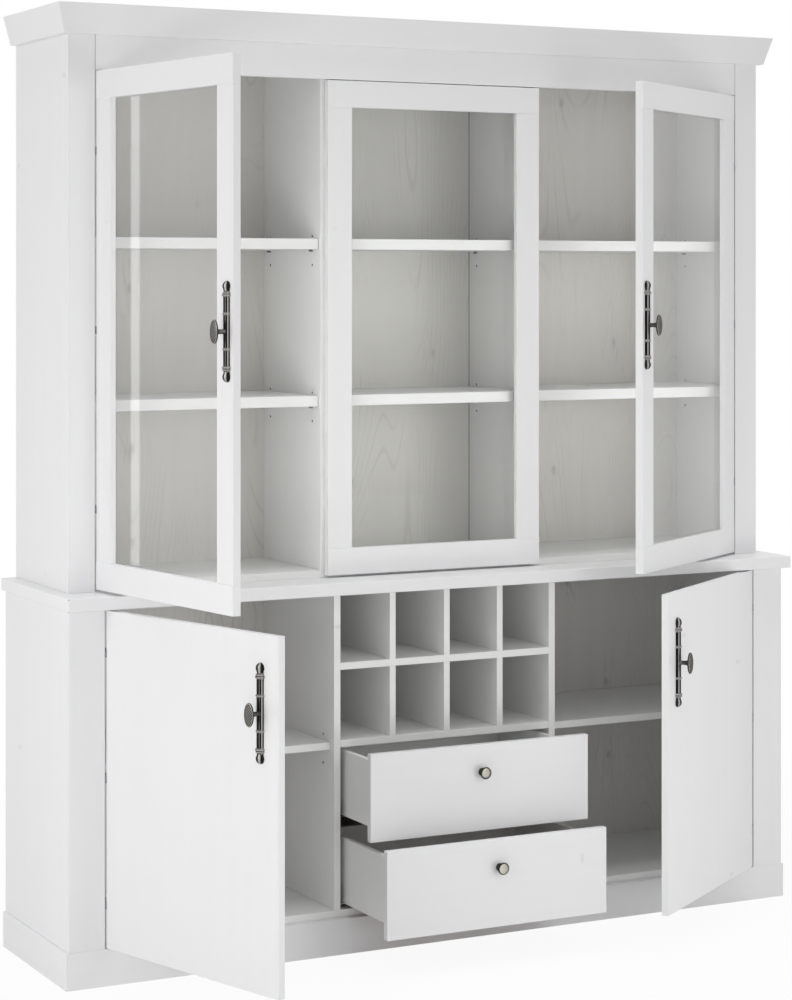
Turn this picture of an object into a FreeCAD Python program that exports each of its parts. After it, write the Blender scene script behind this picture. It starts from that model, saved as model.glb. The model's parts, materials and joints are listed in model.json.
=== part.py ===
import FreeCAD, Part
import os
import re
import Sketcher

# Buffet cabinet in two tiers: a base with two doors, two drawers and a bottle rack,
# and an upper part with two glazed doors either side of a fixed glazed front.
# X runs along the front, Y from front to rear, Z up. The origin is on the floor,
# at the middle of the base's width and depth.

# Driving dimensions, in millimetres and degrees
sizes = {
    # base carcass
    "base_width": 1818,
    "base_depth": 411,
    "base_height": 824,
    "plinth_height": 79,
    "plinth_proud": 6,
    "plinth_thick": 22,
    "rail_thick": 20,
    "base_stile_width": 81,
    # countertop
    "counter_thick": 28,
    "counter_side_lap": 10,
    "counter_front_lap": 25,
    "counter_round": 2,
    # upper carcass
    "upper_setback": 24,
    "upper_depth": 340,
    "upper_height": 1254,
    "upper_stile_width": 61,
    "frieze_reveal": 75.5,
    "frieze_end_gap": 1.2,
    # cornice
    "cornice_height": 64,
    "cornice_foot": 13,
    "cornice_spread": 30,
    # boards
    "board": 16,
    "stile_thick": 18,
    "back_thick": 4,
    "back_inset": 10,
    "back_groove": 5,
    # gaps round the fronts
    "front_gap": 3,
    "bumper": 1.5,
    "door_low_gap": 5.5,
    "door_high_gap": 2,
    "slab_low_gap": 2,
    "slab_high_gap": 3.5,
    # glazed frames
    "door_thick": 18,
    "frame_stile": 60,
    "frame_rail": 60,
    "rail_proud": 1,
    "rebate_width": 8,
    "rebate_depth": 5,
    "glass_thick": 4,
    "glass_gap": 0.5,
    "seat_height": 40,
    # shelves on pegs
    "shelf_thick": 24,
    "shelf_setback": 9.5,
    "shelf_gap": 1,
    "peg_radius": 2.5,
    "peg_reach": 8,
    "peg_sink": 7.5,
    "hole_slack": 0.1,
    "hole_depth": 9,
    "peg_pitch": 32,
    "peg_height": 380,
    "shelf_rise": 352,
    "peg_front_inset": 42.5,
    "peg_rear_inset": 36.5,
    "base_peg_height": 445.5,
    "base_peg_inset": 56,
    "notch_width": 70,
    "notch_depth": 26,
    # plain doors and drawer fronts
    "slab_thick": 16,
    "drawer_front_height": 190.5,
    "drawer_gap": 3.5,
    "drawer_lap": 11,
    # drawer boxes and runners
    "box_thick": 12,
    "box_height": 145,
    "box_rise": 25,
    "box_length": 350,
    "box_floor_thick": 4,
    "box_floor_rise": 10,
    "box_groove": 5,
    "runner_room": 12.5,
    "runner_thick": 1.5,
    "runner_height": 32,
    "runner_gap": 0.4,
    "runner_inset": 12,
    # bottle rack
    "rack_board": 15,
    "rack_cell_height": 155.5,
    # door handles
    "handle_length": 200,
    "door_handle_inset": 20,
    "slab_handle_inset": 53,
    "handle_radius": 8.8,
    "handle_sink": 0.3,
    "ball_radius": 10.2,
    "collar_radius": 11.6,
    "collar_thick": 5.5,
    "collar_offset": 73,
    "ring_offset": 35,
    "ring_radius": 1.8,
    "stem_radius": 4.5,
    "stem_flare": 6.5,
    "oval_reach": 31.3,
    "oval_height": 48,
    "oval_width": 27,
    "oval_depth": 8.5,
    "upper_handle_height": 559,
    "lower_handle_drop": 156,
    # drawer knobs
    "knob_radius": 13.5,
    "knob_depth": 13,
    "knob_length": 26,
    "knob_neck": 5.5,
    "knob_base": 9,
    "knob_base_thick": 3,
    "knob_height": 130,
    # concealed hinges
    "cup_radius": 17.5,
    "cup_wall": 2,
    "cup_depth": 11,
    "cup_inset": 22.5,
    "cup_slack": 0.1,
    "flange_width": 26,
    "flange_height": 62,
    "flange_thick": 1.5,
    "plate_height": 44,
    "plate_width": 32,
    "plate_thick": 6,
    "plate_inset": 4,
    "arm_height": 16,
    "arm_thick": 8,
    "arm_reach": 18,
    "leaf_gap": 0.3,
    "pin_radius": 1.2,
    "pin_slack": 0.1,
    "door_hinge_inset": 170.5,
    "slab_hinge_inset": 90.75,
    # how far each front stands open
    "upper_left_angle": 81.3,
    "upper_right_angle": 33.4,
    "lower_left_angle": 73.1,
    "lower_right_angle": 35.2,
    "upper_drawer_out": 144.4,
    "lower_drawer_out": 223.1,
    # how far a cutting tool runs past the piece
    "overrun": 5,
}

# Places that follow from the driving dimensions
places = {
    # depth
    "base_front": "-base_depth / 2",
    "rear": "base_depth / 2",
    "upper_front": "rear - upper_depth",
    "base_edge": "base_front + slab_thick + bumper",
    "upper_edge": "upper_front + door_thick + bumper",
    "base_stile_back": "base_front + stile_thick",
    "upper_stile_back": "upper_front + stile_thick",
    "back_rear": "rear - back_inset",
    "back_face": "back_rear - back_thick",
    # width
    "base_half": "base_width / 2",
    "upper_half": "base_half - upper_setback",
    "base_inner": "base_half - board",
    "upper_inner": "upper_half - board",
    "base_opening": "base_half - base_stile_width",
    "upper_opening": "upper_half - upper_stile_width",
    "slab_width": "(2 * base_opening - 4 * front_gap) / 3",
    "door_width": "(2 * upper_opening - 4 * front_gap) / 3",
    "base_part": "(slab_width + front_gap) / 2",
    "upper_part": "(door_width + front_gap) / 2",
    "base_part_in": "base_part - board / 2",
    "base_part_out": "base_part + board / 2",
    "upper_part_in": "upper_part - board / 2",
    "upper_part_out": "upper_part + board / 2",
    "slab_hinge_x": "base_opening - front_gap",
    "door_hinge_x": "upper_opening - front_gap",
    # height
    "top": "base_height + upper_height",
    "lid_under": "top - board",
    "cornice_under": "top - cornice_height",
    "frieze_under": "cornice_under - frieze_reveal",
    "counter_under": "base_height - counter_thick",
    "upper_floor": "base_height + board",
    "base_floor": "plinth_height + board",
    "door_low": "base_height + door_low_gap",
    "door_high": "frieze_under - door_high_gap",
    "door_middle": "(door_low + door_high) / 2",
    "door_hinge_spread": "(door_high - door_low) / 2 - door_hinge_inset",
    "slab_low": "plinth_height + slab_low_gap",
    "slab_high": "counter_under - slab_high_gap",
    "slab_middle": "(slab_low + slab_high) / 2",
    "slab_hinge_spread": "(slab_high - slab_low) / 2 - slab_hinge_inset",
    "pane_low": "door_low + frame_rail",
    "pane_high": "door_high - frame_rail",
    # shelves
    "low_peg": "base_height + peg_height",
    "high_peg": "low_peg + shelf_rise",
    "upper_peg_front": "upper_edge + peg_front_inset",
    "base_peg_front": "base_edge + base_peg_inset",
    "peg_rear": "back_face - peg_rear_inset",
    "upper_shelf_front": "upper_edge + shelf_setback",
    "base_shelf_front": "base_edge + 2 * shelf_setback",
    "shelf_rear": "back_face - shelf_gap",
    "notch_front": "shelf_rear - notch_depth",
    # bottle rack over the drawers
    "upper_drawer_low": "slab_low + drawer_front_height + drawer_gap",
    "rack_under": "upper_drawer_low + drawer_front_height - drawer_lap",
    "rack_floor": "rack_under + board",
    "rack_middle": "rack_floor + rack_cell_height",
    "rack_upper": "rack_middle + board",
    "cell_width": "(2 * base_part_in - 3 * rack_board) / 4",
    # drawer boxes
    "box_half": "base_part_in - runner_room",
    "box_inner": "box_half - box_thick",
    "box_end": "slab_thick + box_length",
    # door parts, measured from the hinge edge and the outer face
    "rebate_face": "door_thick - rebate_depth",
    "oval_axis": "-oval_reach",
    "door_handle_x": "door_width - door_handle_inset",
    "slab_handle_x": "slab_width - slab_handle_inset",
    "door_handle_z": "door_low + upper_handle_height",
    "slab_handle_z": "slab_high - lower_handle_drop",
    "rod_half": "handle_length / 2 - ball_radius",
}

doc = FreeCAD.newDocument("buffet_cabinet")
sizesSheet = doc.addObject("Spreadsheet::Sheet", "Sizes")
for row, (name, number) in enumerate(sizes.items(), 1):
    sizesSheet.set("A%d" % row, name)
    sizesSheet.set("B%d" % row, str(number))
    sizesSheet.setAlias("B%d" % row, name)
placesSheet = doc.addObject("Spreadsheet::Sheet", "Places")


def bound(text):
    """Expression text with each name pointed at its sheet."""
    def point(match):
        word = match.group(0)
        if word in sizes:
            return "Sizes." + word
        if word in places:
            return "Places." + word
        return word
    return re.sub(r"[a-z][a-z_]+", point, text)


for row, (name, formula) in enumerate(places.items(), 1):
    text = bound(formula).replace("Places.", "")
    placesSheet.set("A%d" % row, name)
    placesSheet.set("B%d" % row, "=" + text)
    placesSheet.setAlias("B%d" % row, name)
doc.recompute()

nodes = {}


def bind(thing, prop, text):
    thing.setExpression(prop, bound(text))


def move(thing, x="0", y="0", z="0"):
    bind(thing, "Placement.Base.x", x)
    bind(thing, "Placement.Base.y", y)
    bind(thing, "Placement.Base.z", z)


def box(label, x, y, z):
    """Rectangular solid between pairs of named places."""
    thing = doc.addObject("Part::Box", label)
    move(thing, x[0], y[0], z[0])
    bind(thing, "Length", "(%s) - (%s)" % (x[1], x[0]))
    bind(thing, "Width", "(%s) - (%s)" % (y[1], y[0]))
    bind(thing, "Height", "(%s) - (%s)" % (z[1], z[0]))
    return thing


turns = {
    "x": FreeCAD.Rotation(FreeCAD.Vector(0, 1, 0), 90),
    "y": FreeCAD.Rotation(FreeCAD.Vector(1, 0, 0), -90),
    "z": FreeCAD.Rotation(),
}


def rod(label, axis, radius, start, length):
    """Cylinder from a start place along an axis."""
    thing = doc.addObject("Part::Cylinder", label)
    thing.Placement = FreeCAD.Placement(FreeCAD.Vector(), turns[axis])
    move(thing, *start)
    bind(thing, "Radius", radius)
    bind(thing, "Height", length)
    return thing


def cut(label, base, tools):
    """Base with the tools taken away."""
    tool = tools[0]
    if len(tools) > 1:
        tool = doc.addObject("Part::Compound", label + "_tools")
        tool.Links = tools
    thing = doc.addObject("Part::Cut", label)
    thing.Base = base
    thing.Tool = tool
    return thing


def fuse(label, things):
    thing = doc.addObject("Part::MultiFuse", label)
    thing.Shapes = things
    return thing


def group(label, things):
    """Separate solids kept under one name."""
    thing = doc.addObject("Part::Compound", label)
    thing.Links = things
    return thing


def node(name, thing):
    thing.Label = name
    nodes[name] = thing
    return thing


def both(low, high, side):
    """A pair of places on the left (-1) or right (1) of the middle."""
    if side > 0:
        return (low, high)
    return ("-(%s)" % high, "-(%s)" % low)


def sideName(side):
    return "left" if side < 0 else "right"


def outline(body, role, points):
    """Closed sketch of straight edges whose corners sit at named places."""
    sketch = body.newObject("Sketcher::SketchObject", body.Name + "_outline")
    plane = [item for item in body.Origin.OriginFeatures if item.Role == role][0]
    sketch.AttachmentSupport = [(plane, "")]
    sketch.MapMode = "FlatFace"
    probe = doc.addObject("Part::Vertex", "probe")
    corners = []
    for x, y in points:
        bind(probe, "X", x)
        bind(probe, "Y", y)
        probe.recompute()
        corners.append(FreeCAD.Vector(probe.X, probe.Y, 0))
    doc.removeObject(probe.Name)
    count = len(points)
    for i in range(count):
        sketch.addGeometry(Part.LineSegment(corners[i], corners[(i + 1) % count]))
    for i in range(count):
        sketch.addConstraint(Sketcher.Constraint("Coincident", i, 2, (i + 1) % count, 1))
    for i, (x, y) in enumerate(points):
        for kind, text, place in (("DistanceX", x, corners[i].x), ("DistanceY", y, corners[i].y)):
            if text == "0":
                axis = -2 if kind == "DistanceX" else -1
                sketch.addConstraint(Sketcher.Constraint("PointOnObject", i, 1, axis))
            else:
                made = sketch.addConstraint(Sketcher.Constraint(kind, -1, 1, i, 1, place))
                sketch.setExpression("Constraints[%d]" % made, bound(text))
    return sketch


def padded(label, role, points, length):
    """Body made by padding an outline."""
    body = doc.addObject("PartDesign::Body", label)
    sketch = outline(body, role, points)
    pad = body.newObject("PartDesign::Pad", label + "_pad")
    pad.Profile = sketch
    bind(pad, "Length", length)
    sketch.Visibility = False
    doc.recompute()
    return body


def rounded(body, feature, edges, radius):
    """Fillet on chosen edges of a body's last feature."""
    fillet = body.newObject("PartDesign::Fillet", body.Name + "_round")
    fillet.Base = (feature, edges)
    bind(fillet, "Radius", radius)
    return fillet


# Peg holes, one row either side of the row in use

def pegHoles(label, face, length, rows, columns):
    tools = []
    for row in rows:
        for step in ("- peg_pitch", "", "+ peg_pitch"):
            for column in columns:
                start = (face, column, "%s %s" % (row, step))
                name = "%s_hole%d" % (label, len(tools))
                tools.append(rod(name, "x", "peg_radius + hole_slack", start, length))
    return tools


# Base carcass

def baseCarcass():
    for side in (-1, 1):
        name = "base_side_" + sideName(side)
        panel = box(name + "_blank", both("base_inner", "base_half", side),
                    ("base_stile_back", "rear"), ("plinth_height", "counter_under"))
        groove = box(name + "_groove", both("base_inner - overrun", "base_inner + back_groove", side),
                     ("back_face", "back_rear"), ("base_floor", "counter_under + overrun"))
        face = "base_inner - overrun" if side > 0 else "-(base_inner + hole_depth)"
        holes = pegHoles(name, face, "hole_depth + overrun", ["base_peg_height"],
                         ["base_peg_front", "peg_rear"])
        node(name, cut(name, panel, [groove] + holes))
    stiles = []
    for side in (-1, 1):
        stiles.append(box("base_stile_" + sideName(side), both("base_opening", "base_half", side),
                          ("base_front", "base_stile_back"), ("plinth_height", "counter_under")))
    node("base_stiles", group("base_stiles", stiles))
    node("base_bottom", box("base_bottom", ("-base_inner", "base_inner"), ("base_stile_back", "rear"),
                            ("plinth_height", "base_floor")))
    node("base_back", box("base_back", ("-base_inner - back_groove", "base_inner + back_groove"),
                          ("back_face", "back_rear"), ("base_floor", "counter_under")))
    for side in (-1, 1):
        name = "base_partition_" + sideName(side)
        panel = box(name + "_blank", both("base_part_in", "base_part_out", side),
                    ("base_edge", "back_face"), ("base_floor", "counter_under"))
        face = "base_part_out - hole_depth" if side > 0 else "-(base_part_out + overrun)"
        holes = pegHoles(name, face, "hole_depth + overrun", ["base_peg_height"],
                         ["base_peg_front", "peg_rear"])
        node(name, cut(name, panel, holes))
        node("base_shelf_" + sideName(side),
             box("base_shelf_" + sideName(side),
                 both("base_part_out + shelf_gap", "base_inner - shelf_gap", side),
                 ("base_shelf_front", "shelf_rear"),
                 ("base_peg_height + peg_radius", "base_peg_height + peg_radius + board")))


# Plinth: a proud skirt on the front and both ends, with rails inside

def plinth():
    front = ("base_front", "base_front + plinth_thick")
    node("plinth_front", box("plinth_front", ("-base_half - plinth_proud", "base_half + plinth_proud"),
                             front, ("0", "plinth_height")))
    ends = []
    for side in (-1, 1):
        ends.append(box("plinth_end_" + sideName(side),
                        both("base_half + plinth_proud - plinth_thick", "base_half + plinth_proud", side),
                        (front[1], "rear"), ("0", "plinth_height")))
    node("plinth_ends", group("plinth_ends", ends))
    inner = "base_half + plinth_proud - plinth_thick"
    across = box("plinth_rear_rail", ("-(%s)" % inner, inner), ("rear - rail_thick", "rear"),
                 ("0", "plinth_height"))
    along = box("plinth_centre_rail", ("-rail_thick / 2", "rail_thick / 2"),
                (front[1], "rear - rail_thick"), ("0", "plinth_height"))
    node("plinth_rails", group("plinth_rails", [across, along]))


# Countertop with its front and end edges eased

def countertop():
    front = "base_front - counter_front_lap"
    half = "base_half + counter_side_lap"
    body = padded("countertop", "XY_Plane",
                  [("-(%s)" % half, front), (half, front), (half, "rear"), ("-(%s)" % half, "rear")],
                  "counter_thick")
    pad = body.Tip
    behind = pad.Shape.BoundBox.YMax - sizes["overrun"]
    eased = ["Edge%d" % number for number, edge in enumerate(pad.Shape.Edges, 1)
             if edge.CenterOfMass.y < behind]
    rounded(body, pad, eased, "counter_round")
    move(body, z="counter_under")
    node("countertop", body)


# Bottle rack: a floor, a middle shelf and six dividers

def bottleRack():
    across = ("-base_part_in", "base_part_in")
    deep = ("base_edge", "back_face")
    node("rack_floor", box("rack_floor_board", across, deep, ("rack_under", "rack_floor")))
    node("rack_shelf", box("rack_shelf", across, deep, ("rack_middle", "rack_upper")))
    dividers = []
    for low, high in (("rack_floor", "rack_middle"), ("rack_upper", "counter_under")):
        for place in (1, 2, 3):
            start = "-base_part_in + %d * cell_width + %d * rack_board" % (place, place - 1)
            dividers.append(box("rack_divider%d" % len(dividers), (start, start + " + rack_board"),
                                deep, (low, high)))
    node("rack_dividers", group("rack_dividers", dividers))


# Upper carcass

def upperCarcass():
    rows = ["low_peg", "high_peg"]
    columns = ["upper_peg_front", "peg_rear"]
    for side in (-1, 1):
        name = "upper_side_" + sideName(side)
        panel = box(name + "_blank", both("upper_inner", "upper_half", side),
                    ("upper_stile_back", "rear"), ("base_height", "lid_under"))
        groove = box(name + "_groove", both("upper_inner - overrun", "upper_inner + back_groove", side),
                     ("back_face", "back_rear"), ("upper_floor", "lid_under + overrun"))
        face = "upper_inner - overrun" if side > 0 else "-(upper_inner + hole_depth)"
        holes = pegHoles(name, face, "hole_depth + overrun", rows, columns)
        node(name, cut(name, panel, [groove] + holes))
    stiles = []
    for side in (-1, 1):
        stiles.append(box("upper_stile_" + sideName(side), both("upper_opening", "upper_half", side),
                          ("upper_front", "upper_stile_back"), ("base_height", "lid_under")))
    node("upper_stiles", group("upper_stiles", stiles))
    node("frieze_rail", box("frieze_rail",
                            ("-upper_opening + frieze_end_gap", "upper_opening - frieze_end_gap"),
                            ("upper_front", "upper_edge"), ("frieze_under", "lid_under")))
    node("upper_top", box("upper_top", ("-upper_half", "upper_half"), ("upper_front", "rear"),
                          ("lid_under", "top")))
    node("upper_bottom", box("upper_bottom", ("-upper_inner", "upper_inner"), ("upper_edge", "rear"),
                             ("base_height", "upper_floor")))
    node("upper_back", box("upper_back", ("-upper_inner - back_groove", "upper_inner + back_groove"),
                           ("back_face", "back_rear"), ("upper_floor", "lid_under")))
    for side in (-1, 1):
        name = "upper_partition_" + sideName(side)
        panel = box(name + "_blank", both("upper_part_in", "upper_part_out", side),
                    ("upper_edge", "back_face"), ("upper_floor", "lid_under"))
        face = "upper_part_in - overrun" if side > 0 else "-(upper_part_out + overrun)"
        holes = pegHoles(name, face, "board + 2 * overrun", rows, columns)
        node(name, cut(name, panel, holes))


# Adjustable shelves; the lower one in each outer bay has a cable notch at the rear

def shelves():
    bays = {
        "left": ("-(upper_inner - shelf_gap)", "-(upper_part_out + shelf_gap)"),
        "centre": ("-(upper_part_in - shelf_gap)", "upper_part_in - shelf_gap"),
        "right": ("upper_part_out + shelf_gap", "upper_inner - shelf_gap"),
    }
    for bay, (low, high) in bays.items():
        for level in ("low", "high"):
            name = "shelf_%s_%s" % (bay, level)
            corners = [(low, "upper_shelf_front"), (high, "upper_shelf_front"), (high, "shelf_rear")]
            if level == "low" and bay != "centre":
                middle = "((%s) + (%s)) / 2" % (low, high)
                corners += [
                    (middle + " + notch_width / 2", "shelf_rear"),
                    (middle + " + notch_width / 2", "notch_front"),
                    (middle + " - notch_width / 2", "notch_front"),
                    (middle + " - notch_width / 2", "shelf_rear"),
                ]
            corners.append((low, "shelf_rear"))
            shelf = padded(name, "XY_Plane", corners, "shelf_thick")
            move(shelf, z="%s_peg + peg_radius" % level)
            node(name, shelf)


def shelfPegs():
    pegs = []
    ends = [("-(upper_inner + peg_sink)", "low"), ("-(upper_part_out + peg_reach)", "low"),
            ("-(upper_part_in + peg_sink)", "low"), ("upper_part_in - peg_reach", "low"),
            ("upper_part_out - peg_sink", "low"), ("upper_inner - peg_reach", "low")]
    for start, level in ends + [(start, "high") for start, level in ends]:
        for column in ("upper_peg_front", "peg_rear"):
            pegs.append(rod("peg%d" % len(pegs), "x", "peg_radius", (start, column, level + "_peg"),
                            "peg_sink + peg_reach"))
    for start in ("-(base_inner + peg_sink)", "-(base_part_out + peg_reach)",
                  "base_part_out - peg_sink", "base_inner - peg_reach"):
        for column in ("base_peg_front", "peg_rear"):
            pegs.append(rod("peg%d" % len(pegs), "x", "peg_radius", (start, column, "base_peg_height"),
                            "peg_sink + peg_reach"))
    node("shelf_pegs", group("shelf_pegs", pegs))


# Cornice: a board that flares outwards, mitred at the two front corners.
# Each run is its tapered section padded along its length, less a mitre wedge per end.

def cornice():
    length = "2 * (upper_half + cornice_spread)"
    front = padded("cornice_run", "YZ_Plane",
                   [("0", "0"), ("-cornice_foot", "0"), ("-cornice_spread", "cornice_height"),
                    ("0", "cornice_height")], length)
    move(front, "-upper_half - cornice_spread", "upper_front", "cornice_under")
    tools = [mitre("cornice_front_mitre_" + sideName(side), side, "ends") for side in (-1, 1)]
    node("cornice_front", cut("cornice_front", front, tools))
    ends = []
    for side in (-1, 1):
        name = "cornice_end_" + sideName(side)
        sign = "" if side > 0 else "-"
        run = padded(name + "_run", "XZ_Plane",
                     [("0", "0"), (sign + "cornice_foot", "0"),
                      (sign + "cornice_spread", "cornice_height"), ("0", "cornice_height")],
                     "upper_depth + cornice_spread")
        run.Tip.Reversed = True
        move(run, ("upper_half" if side > 0 else "-upper_half"), "upper_front - cornice_spread",
             "cornice_under")
        ends.append(cut(name, run, [mitre(name + "_mitre", side, "front")]))
    node("cornice_ends", group("cornice_ends", ends))


def mitre(label, side, keep):
    """Wedge on one side of the 45 degree plane through a front corner."""
    reach = "cornice_spread + overrun"
    corner = "%supper_half" % ("" if side > 0 else "-")
    sign = "" if side > 0 else "-"
    if keep == "ends":
        points = [("0", "0"), (sign + "(%s)" % reach, "-(%s)" % reach), (sign + "(%s)" % reach, "0")]
    else:
        points = [("0", "0"), (sign + "(%s)" % reach, "-(%s)" % reach), ("0", "-(%s)" % reach)]
    wedge = padded(label, "XY_Plane", points, "cornice_height + 2 * overrun")
    move(wedge, corner, "upper_front", "cornice_under - overrun")
    return wedge


# A glazed frame, measured from its left or right edge and its stiles' outer face.
# The rails run the full width and stand a little proud of the stiles between them.

def glazedFrame(label, side, hinged):
    members = []
    for name, low in (("hinge", "0"), ("free", "door_width - frame_stile")):
        high = low + " + frame_stile"
        inner = high + " - rebate_width" if name == "hinge" else low + " + rebate_width"
        x = [low, high] if name == "hinge" else [high, low]
        points = [(x[0], "0"), (x[1], "0"), (x[1], "rebate_face"),
                  (inner, "rebate_face"), (inner, "door_thick"), (x[0], "door_thick")]
        if side > 0:
            points = [("-(%s)" % x if x != "0" else "0", y) for x, y in points]
        stile = padded("%s_%s_stile" % (label, name), "XY_Plane", points, "pane_high - pane_low")
        move(stile, z="pane_low")
        if not hinged:
            stile = seated("%s_%s_seated" % (label, name), stile, name)
        elif name == "hinge":
            stile = cut("%s_%s_bored" % (label, name), stile, hingeCuts(label, side, "door"))
        members.append(stile)
    for name, low, high in (("low", "door_low", "pane_low"), ("high", "pane_high", "door_high")):
        rail = box("%s_%s_rail_blank" % (label, name), both("0", "door_width", -side),
                   ("-rail_proud", "door_thick"), (low, high))
        edge = (high + " - rebate_width", high + " + overrun")
        if name == "high":
            edge = (low + " - overrun", low + " + rebate_width")
        rebate = box("%s_%s_rebate" % (label, name),
                     both("frame_stile - rebate_width", "door_width - frame_stile + rebate_width", -side),
                     ("rebate_face", "door_thick + overrun"), edge)
        members.append(cut("%s_%s_rail" % (label, name), rail, [rebate]))
    pane = box(label + "_pane", both("frame_stile - rebate_width + glass_gap",
                                     "door_width - frame_stile + rebate_width - glass_gap", -side),
               ("rebate_face", "rebate_face + glass_thick"),
               ("pane_low - rebate_width + glass_gap", "pane_high + rebate_width - glass_gap"))
    return group(label, members), group(label + "_glass", [pane])


def seated(label, stile, edge):
    """Fixed stile with the pads that rest on the partition behind it."""
    lap = "door_width / 2 - upper_part_in"
    x = ("0", lap) if edge == "hinge" else ("door_width - (%s)" % lap, "door_width")
    pads = [box("%s_pad%d" % (label, i), x, ("door_thick", "door_thick + bumper"),
                (height + " - seat_height / 2", height + " + seat_height / 2"))
            for i, height in enumerate(hingeHeights("door"))]
    return fuse(label, [stile] + pads)


# Concealed hinges: a cup let into the door, and an arm on a plate behind the stile.
# The arm's leaf lies on the stile's edge and carries the pin that the door turns about.

def hingeHeights(kind):
    middle = kind + "_middle"
    spread = kind + "_hinge_spread"
    return [middle + " - " + spread, middle, middle + " + " + spread]


def hingeCuts(label, side, kind):
    """Bores for a door's cups, and a hollow in its corner round each hinge pin."""
    x = "cup_inset" if side < 0 else "-cup_inset"
    tools = []
    for i, height in enumerate(hingeHeights(kind)):
        tools.append(rod("%s_bore%d" % (label, i), "y", "cup_radius",
                         (x, kind + "_thick - cup_depth", height), "cup_depth + overrun"))
        tools.append(rod("%s_hollow%d" % (label, i), "z", "pin_radius + pin_slack",
                         ("0", "0", height + " - arm_height / 2 - leaf_gap"),
                         "arm_height + 2 * leaf_gap"))
    return tools


def hingeCups(label, side, kind):
    thick = kind + "_thick"
    x = "cup_inset" if side < 0 else "-cup_inset"
    cups = []
    for i, height in enumerate(hingeHeights(kind)):
        cup = rod("%s_cup%d" % (label, i), "y", "cup_radius - cup_slack",
                  (x, thick + " - cup_depth + cup_slack", height), "cup_depth")
        flange = box("%s_flange%d" % (label, i), (x + " - flange_width / 2", x + " + flange_width / 2"),
                     (thick, thick + " + flange_thick"),
                     (height + " - flange_height / 2", height + " + flange_height / 2"))
        hollow = rod("%s_hollow%d" % (label, i), "y", "cup_radius - cup_wall - cup_slack",
                     (x, thick + " - cup_depth + cup_wall", height), "cup_depth + overrun")
        cups.append(cut("%s_cup_shell%d" % (label, i), fuse("%s_cup_blank%d" % (label, i), [cup, flange]),
                        [hollow]))
    return group(label, cups)


def hingePlates():
    plates = []
    for kind, opening, front, back in (
            ("door", "upper_opening", "upper_front", "upper_stile_back"),
            ("slab", "base_opening", "base_front", "base_stile_back")):
        for side in (-1, 1):
            for height in hingeHeights(kind):
                label = "hinge%d" % len(plates)
                plate = box(label + "_plate", both(opening + " + plate_inset",
                                                   opening + " + plate_inset + plate_width", side),
                            (back, back + " + plate_thick"),
                            (height + " - plate_height / 2", height + " + plate_height / 2"))
                rise = (height + " - arm_height / 2", height + " + arm_height / 2")
                arm = box(label + "_arm", both(opening + " - arm_reach",
                                               opening + " + plate_inset + plate_width", side),
                          (back + " + plate_thick", back + " + plate_thick + arm_thick"), rise)
                leaf = box(label + "_leaf", both(opening + " - front_gap + leaf_gap", opening, side),
                           (front, back + " + plate_thick + arm_thick"), rise)
                hinge = "%s(%s - front_gap)" % ("" if side > 0 else "-", opening)
                pin = rod(label + "_pin", "z", "pin_radius", (hinge, front, rise[0]), "arm_height")
                plates.append(fuse(label, [plate, arm, leaf, pin]))
    node("hinge_plates", group("hinge_plates", plates))


# Door handle: an upright half-round bar with ball ends, collars and rings, and an oval knob
# on a stem. The bar's axis lies just inside the door's face, and all of it is cut flat there.

def doorHandle(label, side, x, z):
    place = x if side < 0 else "-" + x
    pieces = [rod(label + "_bar", "z", "handle_radius", (place, "handle_sink", z + " - rod_half"),
                  "2 * rod_half")]
    for end in ("-", "+"):
        ball = doc.addObject("Part::Sphere", label + "_ball")
        bind(ball, "Radius", "ball_radius")
        move(ball, place, "handle_sink", "%s %s rod_half" % (z, end))
        pieces.append(ball)
        collar = "%s %s collar_offset - collar_thick / 2" % (z, end)
        pieces.append(rod(label + "_collar", "z", "collar_radius", (place, "handle_sink", collar),
                          "collar_thick"))
        ring = doc.addObject("Part::Torus", label + "_ring")
        bind(ring, "Radius1", "handle_radius")
        bind(ring, "Radius2", "ring_radius")
        move(ring, place, "handle_sink", "%s %s ring_offset" % (z, end))
        pieces.append(ring)
    stem = doc.addObject("Part::Cone", label + "_stem")
    stem.Placement = FreeCAD.Placement(FreeCAD.Vector(), turns["y"])
    move(stem, place, "oval_axis", z)
    bind(stem, "Radius1", "stem_flare")
    bind(stem, "Radius2", "stem_radius")
    bind(stem, "Height", "oval_reach")
    pieces.append(stem)
    oval = doc.addObject("Part::Ellipsoid", label + "_oval")
    bind(oval, "Radius1", "oval_height / 2")
    bind(oval, "Radius2", "oval_width / 2")
    bind(oval, "Radius3", "oval_depth / 2")
    move(oval, place, "oval_axis", z)
    pieces.append(oval)
    reach = "(collar_radius + overrun)"
    behind = box(label + "_behind", ("%s - %s" % (place, reach), "%s + %s" % (place, reach)),
                 ("0", reach), (z + " - handle_length", z + " + handle_length"))
    return cut(label, fuse(label + "_whole", pieces), [behind])


# Doors swing about the outer corner of their hinge edge

def hang(thing, side, hinge, front, angle):
    thing.Placement = FreeCAD.Placement(FreeCAD.Vector(), FreeCAD.Rotation(FreeCAD.Vector(0, 0, 1), 1))
    move(thing, hinge if side > 0 else "-" + hinge, front)
    bind(thing, "Placement.Rotation.Angle", angle if side > 0 else "-" + angle)


def glazedDoors():
    for side in (-1, 1):
        name = "upper_%s_door" % sideName(side)
        angle = "upper_%s_angle" % sideName(side)
        frame, pane = glazedFrame(name + "_frame", side, True)
        handle = doorHandle(name + "_handle", side, "door_handle_x", "door_handle_z")
        cups = hingeCups(name + "_cups", side, "door")
        for thing, kind in ((frame, "frame"), (pane, "glass"), (handle, "handle"), (cups, "cups")):
            hang(thing, side, "door_hinge_x", "upper_front", angle)
            node("%s_%s" % (name, kind), thing)


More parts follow.
